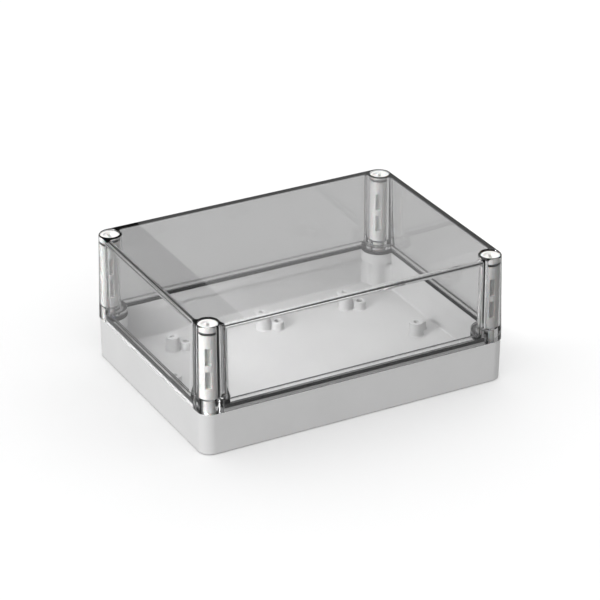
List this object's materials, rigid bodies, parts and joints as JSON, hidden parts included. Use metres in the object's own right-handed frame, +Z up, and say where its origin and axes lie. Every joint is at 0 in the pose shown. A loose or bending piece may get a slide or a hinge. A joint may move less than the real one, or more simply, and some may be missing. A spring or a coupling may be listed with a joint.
{
  "type": "clear-lid enclosure",
  "caption": "Low grey base tray with a deep clear lid, a perimeter gasket and long captive corner screws, for housing a circuit board.",
  "frame": {"origin": "centre of the underside, on the surface the enclosure stands on", "axes": "+X along the long side, +Y along the short side towards the back, +Z up through the lid"},
  "size_m": [0.18, 0.132, 0.073],
  "materials": {
    "base_grey": "light grey polycarbonate, fine satin",
    "clear_lid": "clear polycarbonate with a faint smoky tint",
    "seal_black": "matt black foamed seal",
    "screw_white": "natural white polyamide",
    "ring_black": "black rubber ring"
  },
  "bodies": {
    "base": {"base": "base_grey", "gasket": "seal_black"},
    "lid": {"lid": "clear_lid"},
    "seal_front_left": {"screw_seal_front_left": "ring_black"},
    "screw_front_left": {"screw_front_left": "screw_white"},
    "seal_front_right": {"screw_seal_front_right": "ring_black"},
    "screw_front_right": {"screw_front_right": "screw_white"},
    "seal_back_left": {"screw_seal_back_left": "ring_black"},
    "screw_back_left": {"screw_back_left": "screw_white"},
    "seal_back_right": {"screw_seal_back_right": "ring_black"},
    "screw_back_right": {"screw_back_right": "screw_white"}
  },
  "joints": [
    {"name": "lid_lift", "type": "slide", "parent": "base", "child": "lid", "axis": [0, 0, 1], "range_m": [0, 0.06]},
    {"name": "screw_rise_front_left", "type": "slide", "parent": "lid", "child": "seal_front_left", "axis": [0, 0, 1], "range_m": [0, 0.009]},
    {"name": "screw_turn_front_left", "type": "hinge", "parent": "seal_front_left", "child": "screw_front_left", "pos_m": [-0.0828, -0.0588, 0.0684], "axis": [0, 0, 1], "range_deg": [0, 1800]},
    {"name": "screw_rise_front_right", "type": "slide", "parent": "lid", "child": "seal_front_right", "axis": [0, 0, 1], "range_m": [0, 0.009]},
    {"name": "screw_turn_front_right", "type": "hinge", "parent": "seal_front_right", "child": "screw_front_right", "pos_m": [0.0828, -0.0588, 0.0684], "axis": [0, 0, 1], "range_deg": [0, 1800]},
    {"name": "screw_rise_back_left", "type": "slide", "parent": "lid", "child": "seal_back_left", "axis": [0, 0, 1], "range_m": [0, 0.009]},
    {"name": "screw_turn_back_left", "type": "hinge", "parent": "seal_back_left", "child": "screw_back_left", "pos_m": [-0.0828, 0.0588, 0.0684], "axis": [0, 0, 1], "range_deg": [0, 1800]},
    {"name": "screw_rise_back_right", "type": "slide", "parent": "lid", "child": "seal_back_right", "axis": [0, 0, 1], "range_m": [0, 0.009]},
    {"name": "screw_turn_back_right", "type": "hinge", "parent": "seal_back_right", "child": "screw_back_right", "pos_m": [0.0828, 0.0588, 0.0684], "axis": [0, 0, 1], "range_deg": [0, 1800]}
  ],
  "couplings": [
    {"joint": "screw_turn_front_left", "follows": "screw_rise_front_left", "rad_per_m": 3490.7},
    {"joint": "screw_turn_front_right", "follows": "screw_rise_front_right", "rad_per_m": 3490.7},
    {"joint": "screw_turn_back_left", "follows": "screw_rise_back_left", "rad_per_m": 3490.7},
    {"joint": "screw_turn_back_right", "follows": "screw_rise_back_right", "rad_per_m": 3490.7}
  ]
}
